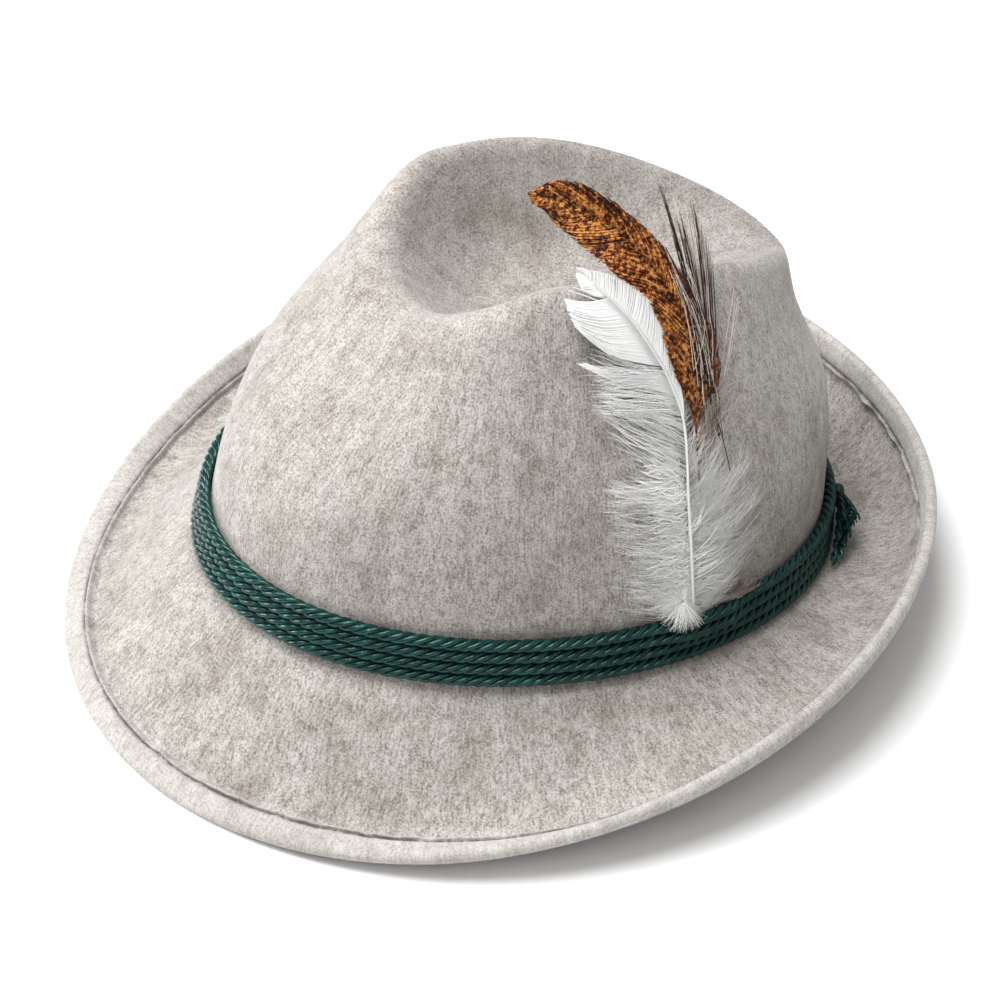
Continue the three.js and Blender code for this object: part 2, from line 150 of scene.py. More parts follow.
def along(points):
    """Distance along a line of points."""
    return np.r_[0, np.cumsum(np.linalg.norm(np.diff(points, axis=0), axis=1))]


def at_distance(points, distance):
    s = along(points)
    return np.stack([np.interp(distance, s, points[:, k]) for k in range(3)], axis=1)


def smoothed(points, spread):
    """A line of evenly spaced points with its corners rounded where they stand."""
    reach = int(3 * spread) + 1
    kernel = np.exp(-0.5 * (np.arange(-reach, reach + 1) / spread) ** 2)
    kernel /= kernel.sum()

    def soft(p):
        ends = np.r_[np.repeat(p[:1], reach, 0) * 2 - p[reach:0:-1], p, np.repeat(p[-1:], reach, 0) * 2 - p[-2 : -reach - 2 : -1]]
        return np.stack([np.convolve(ends[:, k], kernel, "valid") for k in range(3)], axis=1)

    once = soft(points)
    return once + 0.8 * soft(points - once)


def felt_line(angle):
    """Upper face of the felt at one angle from the lowest point of the dent to the edge of the brim, with the length
    from the centre to the ridge and to the edge."""
    lowest = np.array([0, HEAD_BEHIND + DENT_CENTRE, DENT_FLOOR], float)
    ridge = crown_point(angle, 1.0)
    reach = np.linspace(0, 1, 60)[:, None]
    dent = lowest + (ridge - lowest) * reach
    dent[:, 2] = ridge[2] + (DENT_FLOOR - ridge[2]) * table_curve(DENT_TABLE, 1, reach[:, 0])
    side = crown_point(angle, np.linspace(1, 0, 140))
    brim = brim_curve(angle)
    points = np.r_[dent, side[1:], brim[1:]]
    total = along(points)
    count = int(total[-1])
    even = at_distance(points, np.linspace(0, total[-1], count))
    soft = smoothed(even, 2.4)
    keep = np.clip((np.linspace(0, total[-1], count) - (total[-1] - 26)) / 10, 0, 1)[:, None]
    line = soft + (even - soft) * keep
    scale = along(line)[-1] / total[-1]
    return line, total[len(dent) - 1] * scale, total[len(dent) + len(side) - 2] * scale


SHIFT = np.array([0, -0.87, 0])


# Meshes


def new_piece(name, mesh, material, slot, *replaced):
    piece = bpy.data.objects.new(name, mesh)
    bpy.context.scene.collection.objects.link(piece)
    mesh.materials.append(material)
    mesh.polygons.foreach_set("use_smooth", [True] * len(mesh.polygons))
    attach(piece, "root")
    if replaced:
        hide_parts(*replaced)
    return piece


def value_layer(mesh, name, values, kind="FLOAT"):
    layer = mesh.attributes.new(name, kind, "POINT")
    layer.data.foreach_set("value" if kind == "FLOAT" else "vector", np.asarray(values, np.float32).ravel())


plain_tubes = {}


def plain_tube(sides, rings, capped):
    """Straight tube of unit radius with its rings a unit apart, made once for each number of rings."""
    key = sides, rings, capped
    if key in plain_tubes:
        return plain_tubes[key]
    bm = bmesh.new()
    bmesh.ops.create_circle(bm, cap_ends=capped, radius=1, segments=sides)
    ring = bm.edges[:]
    for _ in range(rings - 1):
        grown = bmesh.ops.extrude_edge_only(bm, edges=ring)["geom"]
        bmesh.ops.translate(bm, verts=[g for g in grown if isinstance(g, bmesh.types.BMVert)], vec=(0, 0, 1))
        ring = [g for g in grown if isinstance(g, bmesh.types.BMEdge) and abs(g.verts[0].co.z - g.verts[1].co.z) < 0.5]
    if capped:
        bmesh.ops.holes_fill(bm, edges=ring, sides=sides)
    bmesh.ops.recalc_face_normals(bm, faces=bm.faces)
    plain_tubes[key] = bpy.data.meshes.new("plain_tube")
    bm.to_mesh(plain_tubes[key])
    bm.free()
    return plain_tubes[key]


def read(items, what, width=1, kind=float):
    values = np.empty(len(items) * width, kind)
    items.foreach_get(what, values)
    return values.reshape(-1, width) if width > 1 else values


def tubes(name, middles, across, deep, width, depth, sides, closed=False, layers=None):
    """Mesh of many tubes, each bent along a row of middles with the directions and half sizes of its section."""
    count, rings = middles.shape[:2]
    turn = TURN * np.arange(sides) / sides
    width, depth = np.broadcast_to(width, (count, rings)), np.broadcast_to(depth, (count, rings))
    skin = (
        middles[:, :, None]
        + across[:, :, None] * (width[:, :, None] * np.cos(turn))[..., None]
        + deep[:, :, None] * (depth[:, :, None] * np.sin(turn))[..., None]
    )
    tube = plain_tube(sides, rings, not closed)
    place = read(tube.vertices, "co", 3)
    ring = np.rint(place[:, 2]).astype(int)
    side = np.rint(np.arctan2(place[:, 1], place[:, 0]) / TURN * sides).astype(int) % sides
    bm = bmesh.new()
    for _ in range(count):
        bm.from_mesh(tube)
    if np.sum(np.cross(across, deep) * np.gradient(middles, axis=1)) < 0:
        bmesh.ops.reverse_faces(bm, faces=bm.faces)
    mesh = bpy.data.meshes.new(name)
    bm.to_mesh(mesh)
    bm.free()
    mesh.vertices.foreach_set("co", ((skin[:, ring, side] + SHIFT) * MM).astype(np.float32).ravel())
    # round the section and along the tube; faces across the seam keep to its far side
    corner = read(mesh.loops, "vertex_index", kind=int)
    sizes = read(mesh.polygons, "loop_total", kind=int)
    starts = np.r_[0, np.cumsum(sizes)[:-1]]
    at_side = np.tile(side, count)[corner]
    wraps = np.logical_or.reduceat(at_side == 0, starts) & np.logical_or.reduceat(at_side == sides - 1, starts)
    u = np.where(np.repeat(wraps, sizes) & (at_side == 0), sides, at_side) / sides
    lengths = np.array([along(m) for m in middles]) * MM
    v = lengths[corner // len(side), np.tile(ring, count)[corner]]
    mesh.uv_layers.new(name="length").data.foreach_set("uv", np.stack([u, v], 1).astype(np.float32).ravel())
    for key, values in (layers or {}).items():
        value_layer(mesh, key, np.broadcast_to(values, (count, rings))[:, ring])
    if closed:
        bm = bmesh.new()
        bm.from_mesh(mesh)
        bmesh.ops.remove_doubles(bm, verts=bm.verts, dist=1e-7)
        bm.to_mesh(mesh)
        bm.free()
    return mesh


def joined(name, meshes):
    """One mesh from several."""
    bm = bmesh.new()
    for m in meshes:
        bm.from_mesh(m)
    mesh = bpy.data.meshes.new(name)
    bm.to_mesh(mesh)
    bm.free()
    return mesh


# Materials


class Finish:
    """A material and short ways to add and join its nodes."""

    def __init__(self, name, roughness, **sockets):
        self.material = bpy.data.materials.new(name)
        self.material.use_nodes = True
        self.tree = self.material.node_tree
        self.shader = self.tree.nodes["Principled BSDF"]
        self.shader.inputs["Roughness"].default_value = roughness
        for key, value in sockets.items():
            self.shader.inputs[key.replace("_", " ")].default_value = value

    def node(self, kind, inputs=None, **settings):
        n = self.tree.nodes.new(kind)
        for key, value in settings.items():
            setattr(n, key, value)
        for key, value in (inputs or {}).items():
            self.put(n.inputs[key], value)
        return n

    def put(self, socket, value):
        if isinstance(value, bpy.types.NodeSocket):
            self.tree.links.new(value, socket)
        else:
            socket.default_value = value

    def math(self, operation, *values):
        n = self.node("ShaderNodeMath", operation=operation)
        for socket, value in zip(n.inputs, values):
            self.put(socket, value)
        return n.outputs[0]

    def layer(self, name):
        return self.node("ShaderNodeAttribute", attribute_name=name)

    def noise(self, vector, scale, detail=2.0, rough=0.5):
        n = self.node("ShaderNodeTexNoise", {"Vector": vector, "Scale": scale, "Detail": detail, "Roughness": rough})
        return n.outputs["Fac"]

    def stretched(self, vector, scale):
        n = self.node("ShaderNodeMapping", {"Vector": vector, "Scale": scale})
        return n.outputs[0]

    def ramp(self, value, *stops):
        n = self.node("ShaderNodeValToRGB", {"Fac": value})
        elements = n.color_ramp.elements
        while len(elements) < len(stops):
            elements.new(0.5)
        for element, (at, colour) in zip(elements, stops):
            element.position = at
            element.color = (*colour, 1)
        return n.outputs[0]

    def mix(self, share, a, b, blend="MIX"):
        n = self.node("ShaderNodeMix", data_type="RGBA", blend_type=blend)
        self.put(n.inputs[0], share)
        self.put(n.inputs[6], a if isinstance(a, bpy.types.NodeSocket) else (*a, 1))
        self.put(n.inputs[7], b if isinstance(b, bpy.types.NodeSocket) else (*b, 1))
        return n.outputs[2]

    def colour(self, value):
        self.put(self.shader.inputs["Base Color"], value)

    def bump(self, height, distance, strength=1.0):
        before = self.shader.inputs["Normal"].links
        n = self.node("ShaderNodeBump", {"Height": height, "Distance": distance, "Strength": strength})
        if before:
            self.put(n.inputs["Normal"], before[0].from_socket)
        self.put(self.shader.inputs["Normal"], n.outputs[0])


STITCHES = 236
STITCH_INSET = 9.1


def felt_finish():
    f = Finish("heather_felt", 0.95, Sheen_Weight=0.25, Sheen_Roughness=0.5, Specular_IOR_Level=0.15)
    place = f.node("ShaderNodeTexCoord").outputs["Object"]
    nap = f.layer("nap").outputs["Vector"]
    streak_share = f.layer("streak").outputs["Fac"]
    grain = f.noise(place, 1450, 3, 0.70)
    streaks = f.noise(f.stretched(nap, (1250, 1250, 300)), 1.0, 2, 0.6)
    mottle = f.noise(place, 58, 4, 0.62)
    blotch = f.noise(place, 240, 2, 0.6)
    broad = f.noise(f.stretched(nap, (120, 120, 26)), 1.0, 2, 0.5)
    combed = f.math("MULTIPLY", f.math("SUBTRACT", streaks, 0.5), f.math("MULTIPLY", streak_share, 0.62))
    patch = f.math("MULTIPLY", f.math("SUBTRACT", blotch, 0.5), 0.34)
    sharp = f.math("MULTIPLY_ADD", grain, 1.25, -0.125)
    mixed = f.math("ADD", f.math("ADD", combed, patch), sharp)
    heather = f.ramp(
        mixed,
        (0.26, (0.178, 0.158, 0.138)),
        (0.41, (0.305, 0.279, 0.254)),
        (0.52, (0.392, 0.366, 0.342)),
        (0.70, (0.520, 0.495, 0.470)),
    )
    fleck = f.ramp(mottle, (0.30, (0.76, 0.745, 0.72)), (0.50, (1, 1, 1)))
    tone = f.mix(1.0, heather, fleck, "MULTIPLY")
    sweep = f.ramp(broad, (0.30, (0.90, 0.89, 0.88)), (0.62, (1.05, 1.05, 1.05)))
    tone = f.mix(1.0, tone, sweep, "MULTIPLY")
    # painted highlight: the hem roll is painted paler, as if lit from above
    pale = f.layer("hem").outputs["Fac"]
    tone = f.mix(f.math("MULTIPLY", pale, 0.30), tone, (0.62, 0.60, 0.575))
    # painted shade: the groove of the stitches is painted darker, as if in shadow, more in some places than in others
    aside = f.math("DIVIDE", f.math("SUBTRACT", f.layer("inset").outputs["Fac"], STITCH_INSET * MM), 0.75 * MM)
    groove = f.math("EXPONENT", f.math("MULTIPLY", f.math("MULTIPLY", aside, aside), -1.0))
    groove_shade_patches = f.ramp(f.noise(place, 210, 2, 0.6), (0.38, (0.25, 0.25, 0.25)), (0.58, (0.95, 0.95, 0.95)))
    tone = f.mix(f.math("MULTIPLY", groove, groove_shade_patches), tone, (0.10, 0.088, 0.075))
    f.colour(tone)
    f.bump(grain, 0.45 * MM, 0.6)
    f.bump(f.math("MULTIPLY", streaks, streak_share), 0.35 * MM, 0.5)
    return f.material


def cord_finish():
    f = Finish("green_cord", 0.27, Specular_IOR_Level=0.5, Specular_Tint=(0.65, 1, 0.96, 1))
    uv = f.node("ShaderNodeUVMap", uv_map="length").outputs[0]
    yarn = f.noise(f.stretched(uv, (9, 260, 1)), 1.0, 2, 0.6)
    wear = f.noise(f.node("ShaderNodeTexCoord").outputs["Object"], 180, 2, 0.5)
    shade = f.math("ADD", f.math("MULTIPLY", yarn, 0.7), f.math("MULTIPLY", wear, 0.3))
    f.colour(f.ramp(shade, (0.35, (0.0008, 0.0075, 0.0068)), (0.52, (0.0022, 0.027, 0.023)), (0.68, (0.008, 0.085, 0.070))))
    f.bump(yarn, 0.16 * MM, 0.8)
    return f.material


def barb_finish(name, dark, light, roughness):
    f = Finish(name, roughness, Specular_IOR_Level=0.2)
    place = f.node("ShaderNodeTexCoord").outputs["Object"]
    tint = f.layer("tint").outputs["Fac"]
    fine = f.noise(place, 900, 2, 0.6)
    share = f.math("ADD", tint, f.math("MULTIPLY", f.math("SUBTRACT", fine, 0.5), 0.5))
    f.colour(f.ramp(share, (0.15, dark), (0.85, light)))
    f.bump(fine, 0.08 * MM, 0.5)
    return f.material


def brown_finish():
    f = Finish("barred_brown", 0.6, Specular_IOR_Level=0.2)
    place = f.node("ShaderNodeTexCoord").outputs["Object"]
    bars = f.layer("tint").outputs["Fac"]
    mottle = f.noise(place, 780, 3, 0.76)
    share = f.math("ADD", bars, f.math("MULTIPLY", f.math("SUBTRACT", mottle, 0.5), 2.8))
    f.colour(
        f.ramp(
            share,
            (0.20, (0.012, 0.004, 0.002)),
            (0.42, (0.062, 0.013, 0.003)),
            (0.60, (0.290, 0.072, 0.009)),
            (0.88, (0.640, 0.290, 0.078)),
        )
    )
    f.bump(mottle, 0.08 * MM, 0.4)
    return f.material


FELT_FINISH = felt_finish()
THREAD_FINISH = Finish("hem_thread", 0.8, Base_Color=(0.17, 0.15, 0.13, 1)).material
CORD_FINISH = cord_finish()
WHITE_FINISH = barb_finish("white_vane", (0.74, 0.73, 0.71), (0.85, 0.85, 0.84), 0.6)
DOWN_FINISH = barb_finish("down", (0.30, 0.20, 0.13), (1.0, 1.0, 0.99), 0.9)
BROWN_FINISH = brown_finish()
DARK_FINISH = barb_finish("dark_barbs", (0.030, 0.011, 0.005), (0.66, 0.58, 0.52), 0.6)


# Felt body

SECTIONS = 288
# Distance in from the edge of the brim and height above its upper face, across the fold
HEM_SECTION = [
    (10.62, 0.0),
    (10.60, 0.9),
    (10.52, 1.75),
    (10.28, 2.25),
    (9.95, 2.40),
    (9.62, 2.20),
    (9.35, 1.60),
    (STITCH_INSET, 1.25),
    (8.8, 1.50),
    (8.3, 1.98),
    (7.4, 2.36),
    (6.0, 2.55),
    (4.5, 2.48),
    (3.1, 2.26),
]


hem_rng = np.random.default_rng(3)


def felt_mesh():
    turns = TURN * np.arange(SECTIONS + 1) / SECTIONS
    found, ridges, feet = zip(*[felt_line(a % TURN) for a in turns])
    lengths = np.array([along(line)[-1] for line in found])
    lines = np.array([at_distance(line, np.linspace(0, length, 400)) for line, length in zip(found, lengths)])
    ridges, feet = np.array(ridges), np.array(feet)
    section = np.arange(SECTIONS + 1)

    def ring(distance):
        place = np.clip(distance / lengths, 0, 1) * 399
        low = np.minimum(place.astype(int), 398)
        share = (place - low)[:, None]
        return lines[section, low] * (1 - share) + lines[section, low + 1] * share

    places = [(ridges * s, 0.0) for s in np.linspace(0, 1, 20)[:-1]]
    places += [(ridges + (feet - ridges) * s, 0.0) for s in np.linspace(0, 1, 40)[:-1]]
    places += [(feet + (lengths - HEM_WIDTH - feet) * s, 0.0) for s in np.linspace(0, 1, 22)[:-1]]
    waver = np.convolve(np.tile(hem_rng.normal(0, 1, SECTIONS), 3), [0.15, 0.7, 0.15], "same")[SECTIONS : 2 * SECTIONS]
    waver = 0.36 * np.r_[waver, waver[:1]]
    groove_at = len(places) + [h[0] for h in HEM_SECTION].index(STITCH_INSET)
    for inset, height in HEM_SECTION:
        near = np.clip((inset - 8.0) / 1.2, 0, 1)
        places.append((lengths - inset - waver * near, height * (1 + 0.33 * waver * near * (inset > 9.3))))
    radius = (FELT + HEM_FELT) / 2
    for k in range(11):
        turn = math.pi / 2 - math.pi * k / 10
        places.append((lengths - radius + radius * math.cos(turn), (HEM_FELT - FELT) / 2 + radius * math.sin(turn)))
    under = [(lengths - inset, -FELT) for inset in (4, 7, HEM_WIDTH)]
    under += [(lengths - HEM_WIDTH + (feet - lengths + HEM_WIDTH) * s, -FELT) for s in np.linspace(0, 1, 13)[1:]]
    under += [(feet + (ridges - feet) * s, -FELT) for s in np.linspace(0, 1, 24)[1:]]
    under += [(ridges * s, -FELT) for s in np.linspace(1, 0, 12)[1:]]
    places += under
    step = 1.2
    rows, nap, inset = [], [], []
    for distance, height in places:
        distance = np.maximum(distance, 0.0)
        inner = np.clip(distance - step, 0, lengths - 2 * step)
        before, after = ring(inner), ring(inner + 2 * step)
        climb = unit(after - before)
        point = ring(np.minimum(distance, lengths)) + climb * np.maximum(distance - lengths, 0)[:, None]
        around = np.roll(point[:-1], -1, 0) - np.roll(point[:-1], 1, 0)
        around = np.r_[around, around[:1]]
        if np.abs(around).max() < 1e-6:
            normal = np.broadcast_to([0.0, 0.0, 1.0], point.shape)
        else:
            normal = unit(np.cross(climb, around))
        rows.append(point + normal * np.reshape(height, (-1, 1)))
        nap.append(np.stack([0.1 * np.sin(turns), 0.1 * np.cos(turns), distance * MM], 1))
        inset.append(lengths - distance)
    rows, nap, inset = np.array(rows), np.array(nap), np.array(inset)
    # Slow unevenness of hand-shaped felt
    a = turns[None, :]
    s = nap[:, :, 2] / MM
    wave = 0.35 * np.sin(3 * a + 0.031 * s) + 0.3 * np.sin(5 * a - 0.043 * s + 1) + 0.22 * np.sin(9 * a + 0.06 * s + 2)
    fade = np.clip(s / 60, 0, 1) * np.clip(inset / 30, 0.25, 1)
    flat = unit(rows * [1, 1, 0] - [0, HEAD_BEHIND, 0])
    rows = rows + flat * (wave * fade)[:, :, None]
    rows[:, :, 2] = np.maximum(rows[:, :, 2], 0)
    rings = len(rows)
    bm = bmesh.new()
    bmesh.ops.create_grid(bm, x_segments=rings - 1, y_segments=SECTIONS, size=0.5)
    order = []
    for v in bm.verts:
        i, j = round((v.co.x + 0.5) * (rings - 1)), round((v.co.y + 0.5) * SECTIONS)
        order.append((i, j))
    mesh = bpy.data.meshes.new("felt")
    for v, (i, j) in zip(bm.verts, order):
        v.co = (rows[i, j] + SHIFT) * MM
    bm.to_mesh(mesh)
    bm.free()
    i, j = np.array(order).T
    outside = i < rings - len(under)
    value_layer(mesh, "nap", nap[i, j], "FLOAT_VECTOR")
    ridge_at = ridges[j]
    value_layer(mesh, "streak", np.clip((s[i, j] - ridge_at + 6) / 14, 0, 1))
    value_layer(mesh, "inset", np.where(outside, inset[i, j], 99) * MM)
    # mask of the hem, where the felt is painted paler as a painted highlight
    value_layer(mesh, "hem", outside * np.clip((HEM_WIDTH + 0.3 - inset[i, j]) / 0.6, 0, 1))
    bm = bmesh.new()
    bm.from_mesh(mesh)
    bmesh.ops.remove_doubles(bm, verts=bm.verts, dist=1e-6)
    bmesh.ops.recalc_face_normals(bm, faces=bm.faces)
    bm.to_mesh(mesh)
    bm.free()
    groove = rows[groove_at]
    inward = unit(rows[groove_at - 3] - rows[groove_at + 3])
    forward = unit(np.roll(groove[:-1], -1, 0) - np.roll(groove[:-1], 1, 0))
    up_from = np.cross(np.r_[forward, forward[:1]], inward)
    up_from *= np.sign(up_from[:, 2:3] + 1e-9)
    return mesh, groove, up_from


felt, groove_line, groove_up = felt_mesh()
new_piece("felt", felt, FELT_FINISH, "felt", "felt_body")


def stitch_mesh():
    """Short threads in the groove of the hem, each with both ends sunk in the felt."""
    s = along(groove_line)
    middle = (np.arange(STITCHES) + 0.5) / STITCHES + hem_rng.normal(0, 0.0003, STITCHES)
    reach = hem_rng.uniform(0.20, 0.34, STITCHES) / STITCHES
    at = (middle[:, None] + reach[:, None] * np.linspace(-1, 1, 7)[None]) % 1 * s[-1]
    place = np.stack([np.interp(at, s, groove_line[:, k]) for k in range(3)], -1)
    lift = unit(np.stack([np.interp(at, s, groove_up[:, k]) for k in range(3)], -1))
    arch = np.array([-0.5, -0.05, 0.22, 0.30, 0.22, -0.05, -0.5])
    place = place + lift * arch[None, :, None]
    tangent = unit(np.gradient(place, axis=1))
    across = unit(np.cross(tangent, lift))
    return tubes("stitches", place, across, np.cross(across, tangent), 0.24, 0.20, 6)


new_piece("stitches", stitch_mesh(), THREAD_FINISH, "felt")


# Cord band


def twisted(name, line, out, round_, radius, plies, lay, sides, closed):
    """Plies laid round a line of points. Out and round_ are the directions across and along it."""
    side = np.cross(out, round_)
    s = along(line)
    turns = s[-1] / lay
    if closed:
        turns = round(turns * plies) / plies
    ply = radius / (1 + 1 / math.sin(math.pi / plies)) if plies > 1 else radius
    helix = radius - ply
    swell = ply * 1.02
    middles, across, deep = [], [], []
    for p in range(plies):
        turn = TURN * (turns * s / s[-1] + p / plies)
        ray = out * np.cos(turn)[:, None] + side * np.sin(turn)[:, None]
        middle = line + ray * helix
        tangent = unit(np.gradient(middle, axis=0))
        if closed:
            tangent[0] = tangent[-1] = unit(middle[1] - middle[0] + middle[-1] - middle[-2])
        aside = unit(np.cross(tangent, ray))
        middles.append(middle)
        across.append(unit(np.cross(aside, tangent)))
        deep.append(aside)
    return middles, across, deep, swell


def cord_row(row):
    radius = CORD_DIAMETER / 2
    up = radius + CORD_GAP + row * (CORD_DIAMETER + CORD_GAP)
    angle = np.linspace(0, TURN, 721)
    bulge = 0
    if up + radius > TUCK_HEIGHT:
        bulge = TUCK_DEPTH * np.exp(-(((angle - math.radians(TUCK_ANGLE)) / math.radians(TUCK_SPREAD)) ** 4))
    foot = crown_point(angle, 0.0)
    climb = unit(crown_point(angle, 0.18) - foot)
    round_ = unit(crown_point(angle + 0.01, 0.0) - crown_point(angle - 0.01, 0.0))
    out = unit(np.cross(round_, climb))
    line = foot + climb * up + out * (radius + CORD_GAP + bulge + 0 * angle)[:, None]
    line[-1] = line[0]
    middles, across, deep, swell = twisted("cord", line, out, round_, radius + 0.2, PLIES, LAY, 8, True)
    # each ply ends where the next begins, so the plies join into closed loops
    parts = []
    for m, a, d in zip(middles, across, deep):
        parts.append(tubes("ply", m[None], a[None], d[None], swell, swell, 8, closed=True))
    merged = joined(f"cord_row_{row + 1}", parts)
    bm = bmesh.new()
    bm.from_mesh(merged)
    bmesh.ops.remove_doubles(bm, verts=bm.verts, dist=2e-5)
    bm.to_mesh(merged)
    bm.free()
    return merged


for row in range(CORD_ROWS):
    new_piece(f"cord_row_{row + 1}", cord_row(row), CORD_FINISH, "cord", f"cord_strand_{row + 1}")


# Loose cord ends
TASSEL = (160, 9.5, 2.0)
# Degrees from the front, distance out from the foot of the crown, height above it, and radius
TASSEL_ENDS = [
    (146, 13, 16, 1.0),
    (146, 12.0, 14.2, 0.95),
    (146, 11.3, 12.4, 1.05),
    (144.5, 10.6, 9.6, 1.1),
    (142.5, 9.6, 7, 1.2),
    (141, 9, 4.2, 1.4),
    (139.5, 7.2, 3, 1.35),
    (143, 7.6, 10, 1.15),
    (146, 8.2, 14.6, 1.15),
    (145, 9.4, 12.0, 1.15),
]


def tassel_place(angle, out, up):
    turn = math.radians(angle)
    away = np.array([math.sin(turn) / HEAD_HALF_WIDTH, -math.cos(turn) / HEAD_HALF_LENGTH, 0])
    return crown_point(turn, 0.0) + unit(away) * out + np.array([0, 0, up])


def framed(line):
    """Directions across and along a line."""
    tangent = unit(np.gradient(line, axis=0))
    across = unit(np.cross(tangent, np.array([0.13, 0.07, 1.0])))
    return across, tangent


def tassel_mesh():
    parts = []
    angle, up, knot = TASSEL
    knot_out = 2 * CORD_GAP + CORD_DIAMETER + knot
    centre = tassel_place(angle, knot_out, up)
    for end_angle, out, height, radius in TASSEL_ENDS:
        end = tassel_place(end_angle, out, height)
        half = tassel_place((angle + end_angle) / 2, max((knot_out + out) / 2, knot_out - knot + 1.2), (up + height) / 2 + 1)
        t = np.linspace(0, 1, 40)[:, None]
        line = (1 - t) ** 2 * centre + 2 * t * (1 - t) * half + t**2 * end
        across, tangent = framed(line)
        middles, a, d, swell = twisted("end", line, across, tangent, radius * 1.12, 2, 13.0, 6, False)
        taper = np.clip(np.linspace(14, 0, 40), 0, 1) * 0.5 + 0.5
        for m, x, y in zip(middles, a, d):
            parts.append(tubes("end", m[None], x[None], y[None], swell * taper[None], swell * taper[None], 6))
    # turns of cord that bind the ends together
    axis = unit(tassel_place(angle - 6, knot_out, up) - centre)
    side = unit(np.cross(axis, [0, 0, 1.0]))
    top = np.cross(side, axis)
    t = np.linspace(0, 1, 120)
    turn = TURN * 3.5 * t
    line = centre + axis * ((t - 0.5) * 4.2)[:, None] + (side * np.cos(turn)[:, None] + top * np.sin(turn)[:, None]) * 1.5
    across, tangent = framed(line)
    across = unit(line - centre - axis * ((t - 0.5) * 4.2)[:, None])
    side = np.cross(across, tangent)
    parts.append(tubes("binding", line[None], across[None], side[None], 0.62, 0.62, 8))
    return joined("cord_ends", parts)


new_piece("cord_ends", tassel_mesh(), CORD_FINISH, "cord", "cord_tassel")


# Plume


def plume_surface(angle, share):
    low = crown_point(angle, np.minimum(share, PLUME_LEAVES))
    climb = (crown_point(angle, PLUME_LEAVES) - crown_point(angle, PLUME_LEAVES - 0.04)) / 0.04
    return low + climb * np.maximum(share - PLUME_LEAVES, 0)[..., None]


def plume_place(sheet):
    """Points and outward directions for rows of (back, up, out) on the wearer's left of the crown."""
    middle = math.radians(PLUME_ANGLE)
    angle = middle + sheet[..., 0] / HEAD_HALF_LENGTH
    share = sheet[..., 1] / float(even_curve(RIDGE, middle) - even_curve(FOOT, middle))
    small = 0.01
    round_ = plume_surface(angle + small, share) - plume_surface(angle - small, share)
    climb = plume_surface(angle, share + small) - plume_surface(angle, share - small)
    normal = unit(np.cross(round_, climb))
    return plume_surface(angle, share) + normal * sheet[..., 2:3], normal


def table_line(rows, at):
    """Smooth line through the rows of a table, at shares of its count."""
    rows = np.array(rows, float)
    index = np.arange(len(rows)) / (len(rows) - 1)
    listed = [(i, *r) for i, r in zip(index, rows)]
    return np.stack([table_curve(listed, k + 1, at) for k in range(rows.shape[1])], axis=-1)


def strips(name, sheet, width, depth, sides=4, tint=0.5):
    """Barbs or hairs from lines on the plume's sheet, with half widths and half depths."""
    points, normal = plume_place(sheet)
    tangent = unit(np.gradient(points, axis=1))
    across = unit(np.cross(tangent, normal))
    deep = np.cross(across, tangent)
    return tubes(name, points, across, deep, width, depth, sides, layers={"tint": tint})


def barb_lines(root, tip, bow, count):
    """Curved lines from roots to tips on the sheet. Bow pushes the middle aside, towards the first barbs."""
    t = np.linspace(0, 1, count)[None, :, None]
    middle = (root + tip) / 2 + bow
    return (1 - t) ** 2 * root[:, None] + 2 * t * (1 - t) * middle[:, None] + t**2 * tip[:, None]


rng = np.random.default_rng(7)


def locked(count, size, spread):
    """Random values shared by neighbours in locks of about the given size."""
    out, k = np.zeros(count), 0
    while k < count:
        n = int(rng.integers(max(2, size // 2), size * 2))
        out[k : k + n] = rng.normal(0, spread)
        k += n
    return out


# Rachis of the white feather: back, up, out
WHITE_RACHIS = [
    (2, 10, 1.5),
    (2, 17, 1.6),
    (1.2, 23, 4.9),
    (2.5, 60, 4.7),
    (6.3, 84, 4.7),
    (5.6, 94, 4.7),
    (3.6, 102, 4.8),
    (-2.2, 115, 4.5),
    (-8, 123, 3.8),
    (-15, 130.5, 2.4),
    (-21.0, 132.8, 1.0),
]
# Roots on the rachis (as a share of its length) and tips of the barbs on both sides
WHITE_FORE = [
    (0.60, -30.4, 116.8, 4.2),
    (0.66, -32.8, 119.0, 4.0),
    (0.74, -36.0, 122.6, 3.4),
    (0.82, -37.8, 126.2, 2.6),
]
WHITE_FORE_TIP = [
    (0.83, -23.8, 128.4, 2.4),
    (0.90, -24.6, 130.0, 2.0),
    (0.96, -25.2, 131.8, 1.5),
    (1.0, -24.6, 132.8, 1.0),
]
WHITE_AFT = [
    (0.40, 8.8, 100.0, 4.9),
    (0.48, 9.6, 107.0, 4.9),
    (0.56, 9.2, 114.5, 4.8),
    (0.66, 6.0, 121.5, 4.6),
    (0.76, -1.0, 128.2, 3.8),
    (0.86, -10.5, 132.8, 2.6),
    (0.94, -17.5, 134.2, 1.8),
    (1.0, -23.5, 134.4, 1.0),
]


def vane(rachis, pairs, count, bow, lock):
    """Lines of the barbs on one side of a rachis."""
    t = np.linspace(0, 1, count)
    rows = table_line(pairs, t)
    root = table_line(rachis, rows[:, 0])
    tip = rows[:, 1:4].copy()
    reach = np.linalg.norm(tip - root, axis=1)
    turn = locked(count, lock, 0.008) + rng.normal(0, 0.004, count)
    grow = 1 + locked(count, lock, 0.012) + rng.normal(0, 0.012, count)
    step = (tip - root) * grow[:, None]
    tip = root + step
    tip[:, 0] += -step[:, 1] * turn
    tip[:, 1] += step[:, 0] * turn
    tip[:, 2] += rng.normal(0, 0.12, count)
    side = np.stack([-step[:, 1], step[:, 0], np.zeros(count)], 1) * bow
    lift = np.zeros((count, 3))
    lift[:, 2] = rng.uniform(0.0, 0.35, count) + 0.03 * reach
    return barb_lines(root, tip, side + lift, 8)


